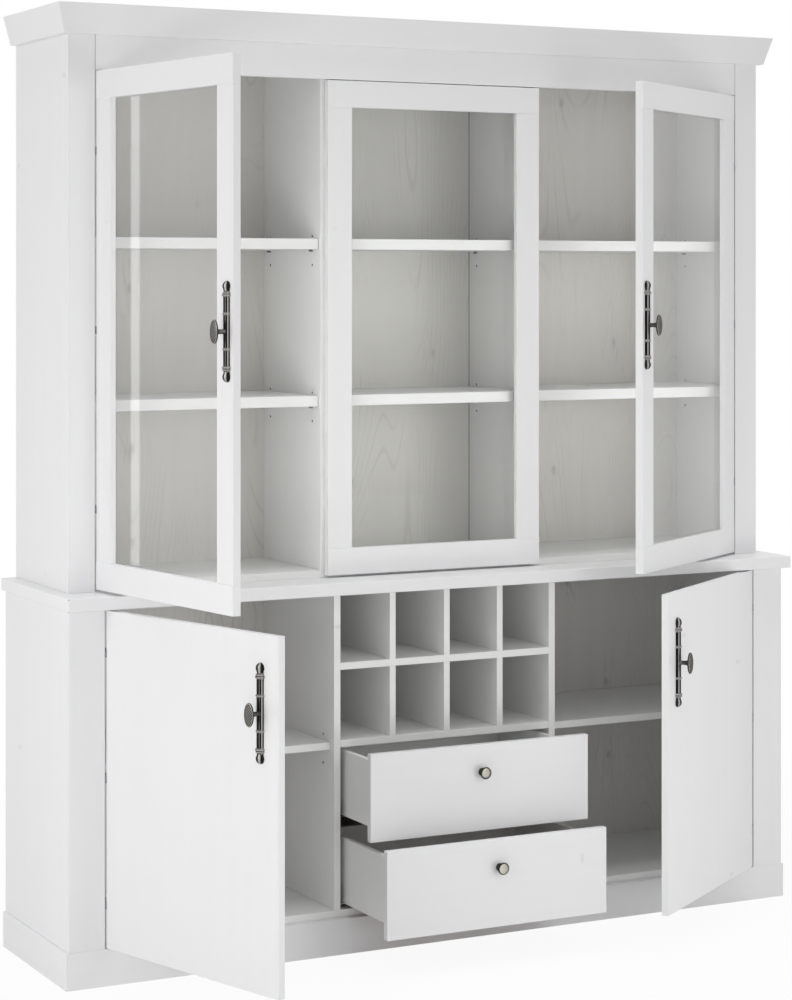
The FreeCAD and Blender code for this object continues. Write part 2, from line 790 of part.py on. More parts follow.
def centreFront():
    frame, pane = glazedFrame("centre_frame", -1, False)
    for thing, name in ((frame, "centre_frame"), (pane, "centre_glass")):
        move(thing, "-door_width / 2", "upper_front")
        node(name, thing)


def slabDoors():
    for side in (-1, 1):
        name = "lower_%s_door" % sideName(side)
        angle = "lower_%s_angle" % sideName(side)
        blank = box(name + "_blank", both("0", "slab_width", -side), ("0", "slab_thick"),
                    ("slab_low", "slab_high"))
        slab = cut(name + "_slab", blank, hingeCuts(name, side, "slab"))
        handle = doorHandle(name + "_handle", side, "slab_handle_x", "slab_handle_z")
        cups = hingeCups(name + "_cups", side, "slab")
        for thing, kind in ((slab, "slab"), (handle, "handle"), (cups, "cups")):
            hang(thing, side, "slab_hinge_x", "base_front", angle)
            node("%s_%s" % (name, kind), thing)


# Drawers: a front, a box of two sides and a back, a thin floor, and a round knob

def drawers():
    runners = []
    for name, low in (("lower_drawer", "slab_low"), ("upper_drawer", "upper_drawer_low")):
        under = low + " + box_rise"
        high = under + " + box_height"
        front = box(name + "_front", ("-slab_width / 2", "slab_width / 2"), ("0", "slab_thick"),
                    (low, low + " + drawer_front_height"))
        groove = (under + " + box_floor_rise", under + " + box_floor_rise + box_floor_thick")
        walls = []
        for side in (-1, 1):
            wall = box("%s_wall_%s" % (name, sideName(side)), both("box_inner", "box_half", side),
                       ("slab_thick", "box_end"), (under, high))
            slot = box("%s_slot_%s" % (name, sideName(side)),
                       both("box_inner - overrun", "box_inner + box_groove", side),
                       ("slab_thick", "box_end"), groove)
            walls.append(cut("%s_side_%s" % (name, sideName(side)), wall, [slot]))
        walls.append(box(name + "_rear", ("-box_inner", "box_inner"),
                         ("box_end - box_thick", "box_end"), (groove[1], high)))
        floor = box(name + "_floor", ("-box_inner - box_groove", "box_inner + box_groove"),
                    ("slab_thick", "box_end"), groove)
        knob = drawerKnob(name + "_knob", low + " + knob_height")
        for kind, thing, start in (("front", front, "0"), ("box", group(name + "_box", walls), "0"),
                                   ("floor", floor, "slab_thick"), ("knob", knob, "0")):
            bind(thing, "Placement.Base.y", "base_front - %s_out + %s" % (name, start))
            node("%s_%s" % (name, kind), thing)
        for side in (-1, 1):
            runners.append(runner("%s_runner_%s" % (name, sideName(side)), side, under))
    node("drawer_runners", group("drawer_runners", runners))


def runner(label, side, under):
    """Angle of thin steel on the partition, its foot under the drawer side."""
    sign = "" if side > 0 else "-"
    points = [("base_part_in", "0"), ("box_inner", "0"), ("box_inner", "runner_thick"),
              ("base_part_in - runner_thick", "runner_thick"),
              ("base_part_in - runner_thick", "runner_height"), ("base_part_in", "runner_height")]
    angle = padded(label, "XZ_Plane", [("%s(%s)" % (sign, x), z) for x, z in points], "box_length")
    angle.Tip.Reversed = True
    move(angle, "0", "base_edge + runner_inset", under + " - runner_gap - runner_thick")
    return angle


def drawerKnob(label, z):
    """Turned knob: a foot disc, a waisted neck and a flattened ball."""
    foot = rod(label + "_disc", "y", "knob_base", ("0", "-knob_base_thick", z), "knob_base_thick")
    neck = doc.addObject("Part::Cone", label + "_neck")
    neck.Placement = FreeCAD.Placement(FreeCAD.Vector(), turns["y"])
    move(neck, "0", "-knob_length + knob_depth / 2", z)
    bind(neck, "Radius1", "knob_base")
    bind(neck, "Radius2", "knob_neck")
    bind(neck, "Height", "knob_length - knob_depth / 2")
    head = doc.addObject("Part::Ellipsoid", label + "_head")
    head.Placement = FreeCAD.Placement(FreeCAD.Vector(), turns["y"])
    move(head, "0", "-knob_length + knob_depth / 2", z)
    bind(head, "Radius1", "knob_depth / 2")
    bind(head, "Radius2", "knob_radius")
    bind(head, "Radius3", "knob_radius")
    return fuse(label, [foot, neck, head])


baseCarcass()
plinth()
countertop()
bottleRack()
upperCarcass()
shelves()
shelfPegs()
cornice()
glazedDoors()
centreFront()
slabDoors()
drawers()
hingePlates()
doc.recompute()

# Every object must be sound before anything is written
faults = []
for thing in doc.Objects:
    if "Invalid" in thing.State or "Error" in thing.State:
        faults.append("%s state %s" % (thing.Name, thing.State))
for name, thing in nodes.items():
    shape = thing.Shape
    if shape.isNull() or not shape.isValid() or not shape.Solids:
        faults.append("%s shape" % name)
if faults:
    raise RuntimeError("; ".join(faults))

os.makedirs("parts", exist_ok=True)
for name, thing in nodes.items():
    thing.Shape.exportStep(os.path.join("parts", name + ".step"))
print("wrote", len(nodes), "nodes")
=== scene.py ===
import json
import math

import bpy
import numpy as np
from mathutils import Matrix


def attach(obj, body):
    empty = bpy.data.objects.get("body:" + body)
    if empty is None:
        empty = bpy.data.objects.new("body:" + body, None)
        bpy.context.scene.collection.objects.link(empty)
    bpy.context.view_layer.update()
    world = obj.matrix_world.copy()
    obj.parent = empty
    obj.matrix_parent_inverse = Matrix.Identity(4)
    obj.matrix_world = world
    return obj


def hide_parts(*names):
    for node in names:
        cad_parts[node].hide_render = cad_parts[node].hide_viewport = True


# White buffet cabinet: foiled boards with eased edges, clear panes, pewter handles and knobs.
# Everything is in metres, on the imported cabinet's own axes.

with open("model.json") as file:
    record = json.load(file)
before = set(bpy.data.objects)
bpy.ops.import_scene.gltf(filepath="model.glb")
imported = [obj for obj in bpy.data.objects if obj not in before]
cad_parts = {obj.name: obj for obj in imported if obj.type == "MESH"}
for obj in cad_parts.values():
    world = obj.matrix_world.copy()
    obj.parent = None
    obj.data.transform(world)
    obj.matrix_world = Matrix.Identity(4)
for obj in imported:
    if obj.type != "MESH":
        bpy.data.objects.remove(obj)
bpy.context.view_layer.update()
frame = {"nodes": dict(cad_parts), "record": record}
bodyOf = {node: body for body, names in frame["record"]["behaviour"]["bodies"].items()
          for node in names}
slotOf = {part["node"]: part["material_slot"] for part in frame["record"]["subparts"]}
print("frame:", len(frame["nodes"]), "nodes")

# How the four doors hang: the line each turns about, how far it stands open, and its reach along X
doors = {
    "upper_left_door": {"hinge": (-0.821, -0.1345), "turn": -81.3, "reach": 1},
    "upper_right_door": {"hinge": (0.821, -0.1345), "turn": 33.4, "reach": -1},
    "lower_left_door": {"hinge": (-0.825, -0.2055), "turn": -73.1, "reach": 1},
    "lower_right_door": {"hinge": (0.825, -0.2055), "turn": 35.2, "reach": -1},
}


# A socket of a node; arithmetic on it adds Math nodes
class Wire:
    def __init__(self, bench, socket):
        self.bench = bench
        self.socket = socket

    def other(self, name):                 # another output of the same node
        return Wire(self.bench, self.socket.node.outputs[name])

    def __add__(self, other):
        return self.bench.combine("ADD", self, other)

    def __radd__(self, other):
        return self.bench.combine("ADD", other, self)

    def __sub__(self, other):
        return self.bench.combine("SUBTRACT", self, other)

    def __rsub__(self, other):
        return self.bench.combine("SUBTRACT", other, self)

    def __mul__(self, other):
        return self.bench.combine("MULTIPLY", self, other)

    def __rmul__(self, other):
        return self.bench.combine("MULTIPLY", other, self)


# The nodes of one material or world
class Bench:
    def __init__(self, owner):
        self.owner = owner
        owner.use_nodes = True
        self.tree = owner.node_tree
        self.tree.nodes.clear()

    def add(self, kind, settings=None, inputs=None, out=0):
        node = self.tree.nodes.new(kind)
        for key, value in (settings or {}).items():
            if key == "stops":
                ramp = node.color_ramp
                while len(ramp.elements) < len(value):
                    ramp.elements.new(0.5)
                for stop, (place, colour) in zip(ramp.elements, value):
                    stop.position = place
                    stop.color = (*colour[:3], 1)
            else:
                setattr(node, key, value)
        for key, value in (inputs or {}).items():
            socket = node.inputs[key]
            if isinstance(value, Wire):
                self.tree.links.new(value.socket, socket)
            elif isinstance(value, (tuple, list)) and socket.type == "RGBA":
                socket.default_value = (*value[:3], 1)
            else:
                socket.default_value = value
        return Wire(self, node.outputs[out]) if len(node.outputs) else None

    def combine(self, operation, a, b=0.0):
        return self.add("ShaderNodeMath", {"operation": operation}, {0: a, 1: b})

    def most(self, a, b):
        return self.combine("MAXIMUM", a, b)

    def magnitude(self, a):                # without its sign
        return self.combine("ABSOLUTE", a)

    def zigzag(self, a, top):              # up from 0 to top and down again, over and over
        return self.combine("PINGPONG", a, top)

    def place(self, stretch, turn=0.0):    # Object coordinates, turned, then stretched
        spot = self.add("ShaderNodeTexCoord", out="Object")
        if turn:
            about = (0, 0, math.radians(turn))
            spot = self.add("ShaderNodeMapping", None, {"Vector": spot, "Rotation": about})
        return self.add("ShaderNodeMapping", None, {"Vector": spot, "Scale": stretch})

    def noise(self, spot, scale, detail, rough=0.5, warp=0.0):
        return self.add("ShaderNodeTexNoise", None, {
            "Vector": spot, "Scale": scale, "Detail": detail, "Roughness": rough,
            "Distortion": warp})

    def pattern(self, stretch, *settings):           # a noise over a stretched place
        return self.noise(self.place(stretch), *settings)

    def cells(self, spot, flat=False):     # distance from the middle of each cell
        return self.add("ShaderNodeTexVoronoi", {"voronoi_dimensions": "2D" if flat else "3D"},
                        {"Vector": spot, "Scale": 1.0})

    def kept(self, cell, without):         # 1 for every cell but a share of them, at random
        chance = self.add("ShaderNodeSeparateColor", None, {0: cell.other("Color")})
        return self.rise(chance, without, without + 0.01)

    def ramp(self, value, *stops):
        colours = [(place, (level, level, level)) for place, level in stops]
        return self.add("ShaderNodeValToRGB", {"stops": colours}, {"Fac": value})

    def rise(self, value, low, high):      # 0 up to low, 1 from high on
        return self.ramp(value, (low, 0), (high, 1))

    def fall(self, value, low, high):      # 1 up to low, 0 from high on
        return self.ramp(value, (low, 1), (high, 0))

    def mix(self, amount, a, b):
        return self.add("ShaderNodeMix", {"data_type": "RGBA"}, {0: amount, 6: a, 7: b}, out=2)

    def bump(self, height, depth, strength):
        return self.add("ShaderNodeBump", None, {
            "Strength": strength, "Distance": depth, "Height": height})

    def seen(self):                        # 1 where the camera looks, also by mirror or pane
        path = self.add("ShaderNodeLightPath", out="Is Camera Ray")
        mirrored = self.most(path, path.other("Is Glossy Ray"))
        return self.most(mirrored, path.other("Is Transmission Ray"))

    def surface(self, inputs):
        return self.finish(self.add("ShaderNodeBsdfPrincipled", None, inputs))

    def finish(self, shader):
        kind = "World" if isinstance(self.owner, bpy.types.World) else "Material"
        self.add("ShaderNodeOutput" + kind, None, {"Surface": shader})
        return self.owner


# White foil: nearly plain, with a faint grain, a few small knots and a satin surface
foilLook = {
    "colour": (0.858, 0.856, 0.864),
    "shade": (0.846, 0.845, 0.853),        # the darker streaks
    "streaks": (1.6, 3, 0.5, 0.5),         # scale, detail, roughness and warp of a noise
    "grain": (22.0, 3, 0.6),
    "grainShare": 0.25,                    # how much of the tone is grain rather than streaks
    "toneRange": (0.35, 0.65),
    "knot": (0.72, 0.715, 0.71),
    "knots": 0.30,                         # share of the cells without a knot
    "knotRim": (0.030, 0.062),             # where a knot starts to fade and has gone
    "knotTone": 0.55,
    "roughness": 0.35,
    "roughSwing": 0.10,
    "shine": 0.4,
    "grainDepth": 0.00006,
    "grainRise": 0.7,                      # how much of the bump is grain rather than streaks
    "bump": 0.6,
}
innerLook = dict(foilLook, colour=(0.856, 0.857, 0.848), shade=(0.845, 0.846, 0.836), knots=0.6)
# painted light: a lighter copy of the inner foil, which lifts the shade inside the base and rack
lowerLitLook = dict(innerLook, colour=(0.915, 0.916, 0.906), shade=(0.905, 0.906, 0.896))
innerNames = ("partition", "shelf", "bottom", "rack", "box", "drawer_floor")
# Many changes across the grain and few along it; then the cells that the knots sit in
stretchAlong = {
    "x": ((1.2, 24.0, 24.0), (9.0, 4.0, 4.0)),
    "y": ((24.0, 1.2, 24.0), (4.0, 9.0, 4.0)),
    "z": ((24.0, 24.0, 1.2), (4.0, 4.0, 9.0)),
}


def foilMaterial(name, grain, look, turn=0.0):
    b = Bench(bpy.data.materials.new(name))
    grainStretch, cellStretch = stretchAlong[grain]
    along = b.place(grainStretch, turn)
    streaks = b.noise(along, *look["streaks"])
    fine = b.noise(along, *look["grain"])
    share = look["grainShare"]
    rise = look["grainRise"]
    tone = b.rise(streaks * (1 - share) + fine * share, *look["toneRange"])
    colour = b.mix(tone, look["shade"], look["colour"])
    cell = b.cells(b.place(cellStretch, turn))
    knot = b.fall(cell, *look["knotRim"]) * b.kept(cell, look["knots"])
    return b.surface({
        "Base Color": b.mix(knot * look["knotTone"], colour, look["knot"]),
        "Roughness": look["roughness"] + look["roughSwing"] * fine,
        "Specular IOR Level": look["shine"],
        "Normal": b.bump(fine * rise + streaks * (1 - rise), look["grainDepth"], look["bump"])})


# Back panels: a pale warm-grey printed wood with short pores, small knots and a few wandering
# lines. A noise is how its place is stretched, then scale, detail, roughness and warp.
backLook = {
    "colour": (0.775, 0.763, 0.728),
    "shade": (0.730, 0.718, 0.682),
    "streaks": ((7.0, 7.0, 0.9), 1.3, 3, 0.5, 1.2),
    "grain": ((60.0, 60.0, 2.4), 4.0, 3, 0.6),
    "grainShare": 0.3,
    "toneRange": (0.34, 0.66),
    "pore": (0.52, 0.50, 0.46),
    "pores": ((75.0, 75.0, 4.5), 5.0, 1, 0.4),
    "poreRange": (0.30, 0.37),
    "poreTone": 0.42,
    "patches": ((3.0, 3.0, 1.4), 1.5, 1),  # where pores gather away from knots
    "patchRange": (0.44, 0.60),
    "patchShare": 0.6,
    "knot": (0.40, 0.38, 0.34),
    "knotCells": (5.5, 3.2),               # cells per metre, across and up
    "knots": 0.52,                         # share of the cells without a knot
    "knotStops": [(0.018, 1), (0.034, 0.35), (0.060, 0)],
    "knotTone": 0.42,
    "wobble": ((1, 1, 0.5), 90.0, 2),
    "ragged": 0.05,                        # how far a knot's rim wobbles, in cells
    "around": (0.10, 0.34),                # pores gather round a knot up to here
    "lines": ((2.6, 2.6, 0.42), 2.0, 1, 0.4, 0.5),
    "linePitch": 0.016,                    # contour lines of that slow noise
    "lineRange": (0.0010, 0.0036),
    "lineTone": 0.34,
    "lineSpots": ((3.5, 3.5, 2.0), 2.2, 1),
    "lineSpotRange": (0.50, 0.62),
    "roughness": 0.42,
    "roughSwing": 0.12,
    "grainDepth": 0.00008,
    "bump": 0.4,
    "shadeCorners": [0.2664],                     # along X, left and right: painted shade down the corners by the partitions
    "cornerShade": (0.10, 0.10, 0.09),
    "cornerShadeRange": (0.0011, 0.0022),
    "cornerShadeTone": 0.85,
    "face": (0.1924, 0.1925),              # along Y: the painted corner shade shows on the panel's inner side alone
}
# painted light: a lighter copy of the back print, which lifts the shade inside the base
lowerBackLitLook = dict(backLook, colour=(0.840, 0.828, 0.790), shade=(0.800, 0.787, 0.748), shadeCorners=[])


def backMaterial(name, look):
    b = Bench(bpy.data.materials.new(name))
    spot = b.add("ShaderNodeSeparateXYZ", None, {0: b.add("ShaderNodeTexCoord", out="Object")})
    fine = b.pattern(*look["grain"])
    share = look["grainShare"]
    tone = b.rise(b.pattern(*look["streaks"]) * (1 - share) + fine * share, *look["toneRange"])
    colour = b.mix(tone, look["shade"], look["colour"])

    # knots sit in flat cells, each with a ragged rim; pores gather below and above them
    across, up = look["knotCells"]
    flat = b.add("ShaderNodeCombineXYZ", None, {0: spot * across, 1: spot.other("Z") * up})
    cell = b.cells(flat, flat=True)
    kept = b.kept(cell, look["knots"])
    near = cell + (b.pattern(*look["wobble"]) - 0.5) * look["ragged"]
    knot = b.ramp(near, *look["knotStops"]) * kept
    cluster = b.fall(cell, *look["around"]) * kept
    patch = b.rise(b.pattern(*look["patches"]), *look["patchRange"]) * look["patchShare"]
    pore = b.fall(b.pattern(*look["pores"]), *look["poreRange"]) * b.most(cluster, patch)
    colour = b.mix(pore * look["poreTone"], colour, look["pore"])
    contour = b.zigzag(b.pattern(*look["lines"]), look["linePitch"])
    where = b.rise(b.pattern(*look["lineSpots"]), *look["lineSpotRange"])
    line = b.fall(contour, *look["lineRange"]) * b.most(where, cluster)
    colour = b.mix(line * look["lineTone"], colour, look["pore"])
    colour = b.mix(knot * look["knotTone"], colour, look["knot"])

    inside = b.fall(spot.other("Y"), *look["face"])
    # painted shade: a dark line down each corner where a partition meets the back
    for place in look["shadeCorners"]:
        cornerShade = b.fall(b.magnitude(b.magnitude(spot) - place), *look["cornerShadeRange"]) * inside
        colour = b.mix(cornerShade * look["cornerShadeTone"], colour, look["cornerShade"])
    return b.surface({
        "Base Color": colour,
        "Roughness": look["roughness"] + look["roughSwing"] * fine,
        "Normal": b.bump(fine, look["grainDepth"], look["bump"])})


# Antique pewter: a matt dark patina in the hollows, rubbed bright where hands and cloths reach.
# Each "Wear" tells how much is rubbed, as stops: of a stain, of a rib's height, up a knob or a
# grip from its back to its dome, or round a bar from its right side to its left. The bar's
# bands and balls are painted highlights as well: bright stripes standing in for lamp reflections.
pewterLook = {
    "dark": (0.006, 0.0055, 0.005),
    "worn": (0.52, 0.50, 0.475),
    "wornKnob": (0.66, 0.64, 0.55),
    "edge": (0.15, 0.15, 0.15),            # how little of the room shows at a glancing angle
    "roughness": 0.24,
    "roughSwing": 0.14,
    "patinaShine": 0.12,
    "bareMetal": 0.16,                     # rubbed this much, the metal is bare
    "mottle": ((1, 1, 1), 420.0, 4, 0.6),
    "stain": ((1, 1, 1), 70.0, 3, 0.5),
    "mottleShare": 0.4,                    # how much of the wear is mottle rather than stain
    "mottleRise": 0.25,
    "depth": 0.0001,
    "bump": 0.8,
    "waver": 0.03,                         # how far the edges of the rubbed bands stray
    "wearSwing": (0.8, 0.4),               # the bands' wear where the stain is 0, and what 1 adds
    "stainWear": [(0.42, 0.04), (0.70, 0.5)],
    "gripWear": [(0.00, 0.08), (0.52, 0.15), (0.56, 0.90), (0.61, 0.90), (0.63, 0.05), (0.66, 0.05),
                 (0.69, 0.80), (0.74, 0.3)],
    "ribWear": [(0.72, 0.0), (0.93, 0.9)],
    "ribPitch": 0.0056,
    "ribDepth": 0.0004,
    "knobWear": [(0.50, 0.06), (0.66, 0.02), (0.820, 0.02), (0.835, 0.92)],
    "knobPaintedLight": [(0.15, 1.0), (0.95, 0.62)],            # painted light: a dome is lighter on its left side, shaded on its right
    "shadeWaver": 0.1,
    # painted highlights: bright stripes round the bar, standing in for reflections of the lamps
    "barWear": [(0.10, 0.0), (0.13, 0.85), (0.18, 0.85), (0.215, 0.0), (0.29, 0.0), (0.33, 0.26),
                (0.37, 0.26), (0.41, 0.0), (0.655, 0.0), (0.69, 0.66), (0.77, 0.66), (0.81, 0.0)],
    "rings": [0.0350, 0.0708, 0.0757],     # heights of the rings of a bar, rubbed and with a painted highlight
    "ringRange": (0.0007, 0.0013),
    "ringWearAndHighlight": 0.8,
    "ball": 0.0790,                        # above this height a bar is its end ball
    "ballRim": 0.0015,
    # painted highlights on the end balls, stripes like the bar's
    "ballHighlights": [(0.24, 0.02), (0.29, 0.85), (0.40, 0.85), (0.45, 0.03), (0.645, 0.03),
                 (0.67, 0.70), (0.77, 0.70), (0.82, 0.03)],
}


def pewterMaterial(name, look, pattern):
    b = Bench(bpy.data.materials.new(name))
    mottle = b.pattern(*look["mottle"])
    stain = b.pattern(*look["stain"])
    height = mottle * look["mottleRise"]
    depth = look["depth"]
    face = b.add("ShaderNodeSeparateXYZ", None, {0: b.add("ShaderNodeTexCoord", out="UV")})
    up = face.other("Y")
    wear = look[pattern + "Wear"]
    if pattern == "stain":
        share = look["mottleShare"]
        wearAndLight = b.ramp(mottle * share + stain * (1 - share), *wear)
    elif pattern == "rib":                 # two sets of slanting ribs crossing on the oval face
        half = look["ribPitch"] / 2
        height = b.most(b.zigzag(face + up, half), b.zigzag(face - up, half)) * (1 / half)
        depth = look["ribDepth"]
        wearAndLight = b.ramp(height, *wear)
    else:                                  # UV's first part runs over the form
        least, swing = look["wearSwing"]
        band = b.ramp(face + (mottle - 0.5) * look["waver"], *wear)
        wearAndLight = band * (least + swing * stain)
    # painted light: the knob's dome gets lighter to its left and darker to its right
    if pattern == "knob":
        side = up + (mottle - 0.5) * look["shadeWaver"]
        wearAndLight = wearAndLight * b.ramp(side, *look["knobPaintedLight"])
    # painted highlights round the bar and its balls, and rings rubbed bright with a highlight
    if pattern == "bar":
        level = b.magnitude(up)
        # in tenths of a metre, because a ramp has only 256 steps from 0 to 1
        ball = b.rise(level * 10, look["ball"] * 10, (look["ball"] + look["ballRim"]) * 10)
        wearAndLight = wearAndLight * (1 - ball) + b.ramp(face, *look["ballHighlights"]) * ball
        near, far = look["ringRange"]
        for ring in look["rings"]:
            away = b.magnitude(level - ring)
            wearAndLight = b.most(wearAndLight, b.ramp(away, (near, look["ringWearAndHighlight"]), (far, 0)))
    worn = look["wornKnob"] if pattern == "knob" else look["worn"]
    return b.surface({
        "Base Color": b.mix(wearAndLight, look["dark"], worn),
        "Metallic": b.rise(wearAndLight, 0.0, look["bareMetal"]),
        "Roughness": look["roughness"] + look["roughSwing"] * stain,
        "Specular IOR Level": look["patinaShine"], "Specular Tint": look["edge"],
        "Normal": b.bump(height, depth, look["bump"])})


# Raw chipboard, seen in the walls of drilled holes, darkened nearly black with painted shade
chipShadedLook = {
    "dark": (0.03, 0.027, 0.024),
    "pale": (0.10, 0.088, 0.072),
    "chips": ((1, 1, 1), 900.0, 2, 0.6),
    "toneRange": (0.4, 0.6),
    "roughness": 0.85,
    "roughSwing": 0.1,
    "depth": 0.0002,
    "bump": 0.5,
}
# The brown underside of the drawer floors
hardboardLook = dict(chipShadedLook, dark=(0.19, 0.105, 0.050), pale=(0.27, 0.16, 0.085),
                     chips=((1, 1, 1), 500.0, 2, 0.6), roughness=0.75)


def chipMaterial(name, look):
    b = Bench(bpy.data.materials.new(name))
    chips = b.pattern(*look["chips"])
    return b.surface({
        "Base Color": b.mix(b.rise(chips, *look["toneRange"]), look["dark"], look["pale"]),
        "Roughness": look["roughness"] + look["roughSwing"] * chips,
        "Normal": b.bump(chips, look["depth"], look["bump"])})


# Zinc plated fittings, brushed upwards. Their colour is darkened with painted shade, so that
# the hinges seen in the door gaps look shadowed
steelShadedLook = {
    "colour": (0.36, 0.36, 0.37),
    "shade": (0.26, 0.26, 0.27),
    "toneRange": (0.35, 0.65),
    "edge": (0.4, 0.4, 0.4),
    "roughness": 0.26,
    "roughSwing": 0.12,
    "brush": ((40, 40, 400), 4.0, 2),
    "cloud": ((1, 1, 1), 40.0, 3),
    "depth": 0.0001,
    "bump": 0.15,
}


def steelMaterial(name, look):
    b = Bench(bpy.data.materials.new(name))
    brushed = b.pattern(*look["brush"])
    cloud = b.pattern(*look["cloud"])
    return b.surface({
        "Base Color": b.mix(b.rise(cloud, *look["toneRange"]), look["shade"], look["colour"]),
        "Metallic": 1.0, "Roughness": look["roughness"] + look["roughSwing"] * brushed,
        "Specular Tint": look["edge"], "Normal": b.bump(brushed, look["depth"], look["bump"])})


# Clear panes: glass to the camera, see-through to the lamps so that the inside stays lit
glassLook = {
    "tint": (0.968, 0.972, 0.966),
    "shadowTint": (0.94, 0.945, 0.94),
    "bending": 1.38,
    "roughness": 0.004,
    "roughSwing": 0.012,
    "smears": ((1, 1, 0.4), 6.0, 3),
}


def glassMaterial(name, look):
    b = Bench(bpy.data.materials.new(name))
    rough = look["roughness"] + look["roughSwing"] * b.pattern(*look["smears"])
    pane = b.add("ShaderNodeBsdfPrincipled", None, {
        "Base Color": look["tint"], "Roughness": rough,
        "IOR": look["bending"], "Transmission Weight": 1.0})
    clear = b.add("ShaderNodeBsdfTransparent", None, {"Color": look["shadowTint"]})
    lamp = b.add("ShaderNodeLightPath", out="Is Shadow Ray")
    return b.finish(b.add("ShaderNodeMixShader", None, {0: lamp, 1: pane, 2: clear}))


foil = {grain: foilMaterial("foil_" + grain, grain, foilLook) for grain in stretchAlong}
foilInner = {grain: foilMaterial("foil_inner_" + grain, grain, innerLook) for grain in stretchAlong}
foilLowerLit = {grain: foilMaterial("foil_lower_" + grain, grain, lowerLitLook) for grain in stretchAlong}
foilTurned = {door: foilMaterial("foil_" + door, "x", foilLook, -doors[door]["turn"])
              for door in ("upper_left_door", "upper_right_door")}
backBoards = {"upper_back": backMaterial("back_print_upper", backLook),
              "base_back": backMaterial("back_print_base_lit", lowerBackLitLook)}
pewter = pewterMaterial("pewter", pewterLook, "stain")
pewterGrip = pewterMaterial("pewter_grip", pewterLook, "grip")
pewterRibbed = pewterMaterial("pewter_ribbed", pewterLook, "rib")
pewterBar = pewterMaterial("pewter_rubbed_highlit", pewterLook, "bar")
pewterKnob = pewterMaterial("pewter_knob_lit_left", pewterLook, "knob")
steel = steelMaterial("zinc_steel_shaded", steelShadedLook)
glass = glassMaterial("clear_pane", glassLook)
chipboardShaded = chipMaterial("raw_chipboard_shaded", chipShadedLook)
hardboard = chipMaterial("raw_hardboard", hardboardLook)
print("materials:", len(bpy.data.materials))


def giveMaterial(thing, material):
    thing.data.materials.clear()
    thing.data.materials.append(material)


# One value of every element of a mesh, in rows of the given width
def readAll(elements, name, width=1, kind=float):
    flat = np.empty(len(elements) * width, dtype=kind)
    elements.foreach_get(name, flat)
    return flat.reshape(-1, width) if width > 1 else flat


# Boards: each solid of a node is merged on its own, and its long edges get a small radius
boardLook = {
    "ease": 0.0009,                        # radius of an edge
    "shortest": 0.012,                     # edges shorter than this stay sharp
    "steps": 2,
    "flat": 0.5,                           # triangles within so many degrees make one side
    "sharp": 1.9,                          # the normals of an edge's two sides add up to less
    "drilled": 30e-6,                      # the walls of a drilled hole are sides smaller than this
    "deepest": 0.020,                      # and no longer than this through the board
    "towards": 0.5,                        # a side faces a way when its normal has this much of it
}


# Splits a node's loose triangles into its solids: triangles sharing an edge get one label
def solidsOf(thing):
    mesh = thing.data
    mesh.calc_loop_triangles()
    spots = readAll(mesh.vertices, "co", 3)
    places, which = np.unique(np.round(spots, 6), axis=0, return_inverse=True)
    tris = which.reshape(-1)[readAll(mesh.loop_triangles, "vertices", 3, np.int32)]
    tris = tris[(tris != np.roll(tris, 1, axis=1)).all(axis=1)]    # rounding closes some slivers
    ends = np.sort(np.stack([tris, np.roll(tris, -1, axis=1)], axis=2).reshape(-1, 2), axis=1)
    edges, edgeOf, uses = np.unique(ends, axis=0, return_inverse=True, return_counts=True)
    edgeOf = edgeOf.reshape(-1, 3)
    shared = uses[edgeOf] == 2
    label = np.arange(len(tris))
    while True:
        lowest = np.full(len(edges), len(tris))
        np.minimum.at(lowest, edgeOf[shared], np.repeat(label[:, None], 3, axis=1)[shared])
        fresh = np.minimum(label, np.where(shared, lowest[edgeOf], len(tris)).min(axis=1))
        if np.array_equal(fresh, label):
            break
        label = fresh
    return [(places, tris[label == one]) for one in np.unique(label)]


# One object from triangles, its flat sides made whole
def wholeSides(name, places, tris, look):
    used, corners = np.unique(tris, return_inverse=True)
    mesh = bpy.data.meshes.new(name)
    mesh.from_pydata(places[used].tolist(), [], corners.reshape(-1, 3).tolist())
    thing = bpy.data.objects.new(name, mesh)
    bpy.context.scene.collection.objects.link(thing)
    bpy.context.view_layer.objects.active = thing
    bpy.ops.object.select_all(action="DESELECT")
    thing.select_set(True)
    bpy.ops.object.mode_set(mode="EDIT")
    bpy.ops.mesh.select_all(action="SELECT")
    bpy.ops.mesh.dissolve_limited(angle_limit=math.radians(look["flat"]))
    bpy.ops.object.mode_set(mode="OBJECT")
    return thing


# A bevel on every long sharp edge
def easeEdges(thing, spots, facing, sizes, look):
    mesh = thing.data
    ends = readAll(mesh.edges, "vertices", 2, np.int32)
    lengths = np.linalg.norm(spots[ends[:, 0]] - spots[ends[:, 1]], axis=1)
    both = np.zeros((len(mesh.edges), 3))
    edgeOf = readAll(mesh.loops, "edge_index", 1, np.int32)
    np.add.at(both, edgeOf, np.repeat(facing, sizes, axis=0))
    sharp = (np.linalg.norm(both, axis=1) < look["sharp"]) & (lengths > look["shortest"])
    weights = mesh.attributes.new("bevel_weight_edge", "FLOAT", "EDGE")
    weights.data.foreach_set("value", sharp.astype(np.float32))
    bevel = thing.modifiers.new("eased", "BEVEL")
    bevel.limit_method = "WEIGHT"
    bevel.width = look["ease"]
    bevel.segments = look["steps"]


# The walls of drilled holes: small sides that turn away from the broad one and go in a little way
def holeWalls(mesh, spots, facing, sizes, look):
    thin = np.argmin(spots.max(axis=0) - spots.min(axis=0))
    levels = spots[readAll(mesh.loops, "vertex_index", 1, np.int32), thin]
    starts = np.cumsum(sizes) - sizes
    reach = np.maximum.reduceat(levels, starts) - np.minimum.reduceat(levels, starts)
    small = readAll(mesh.polygons, "area") < look["drilled"]
    return small & (np.abs(facing[:, thin]) < look["towards"]) & (reach < look["deepest"])


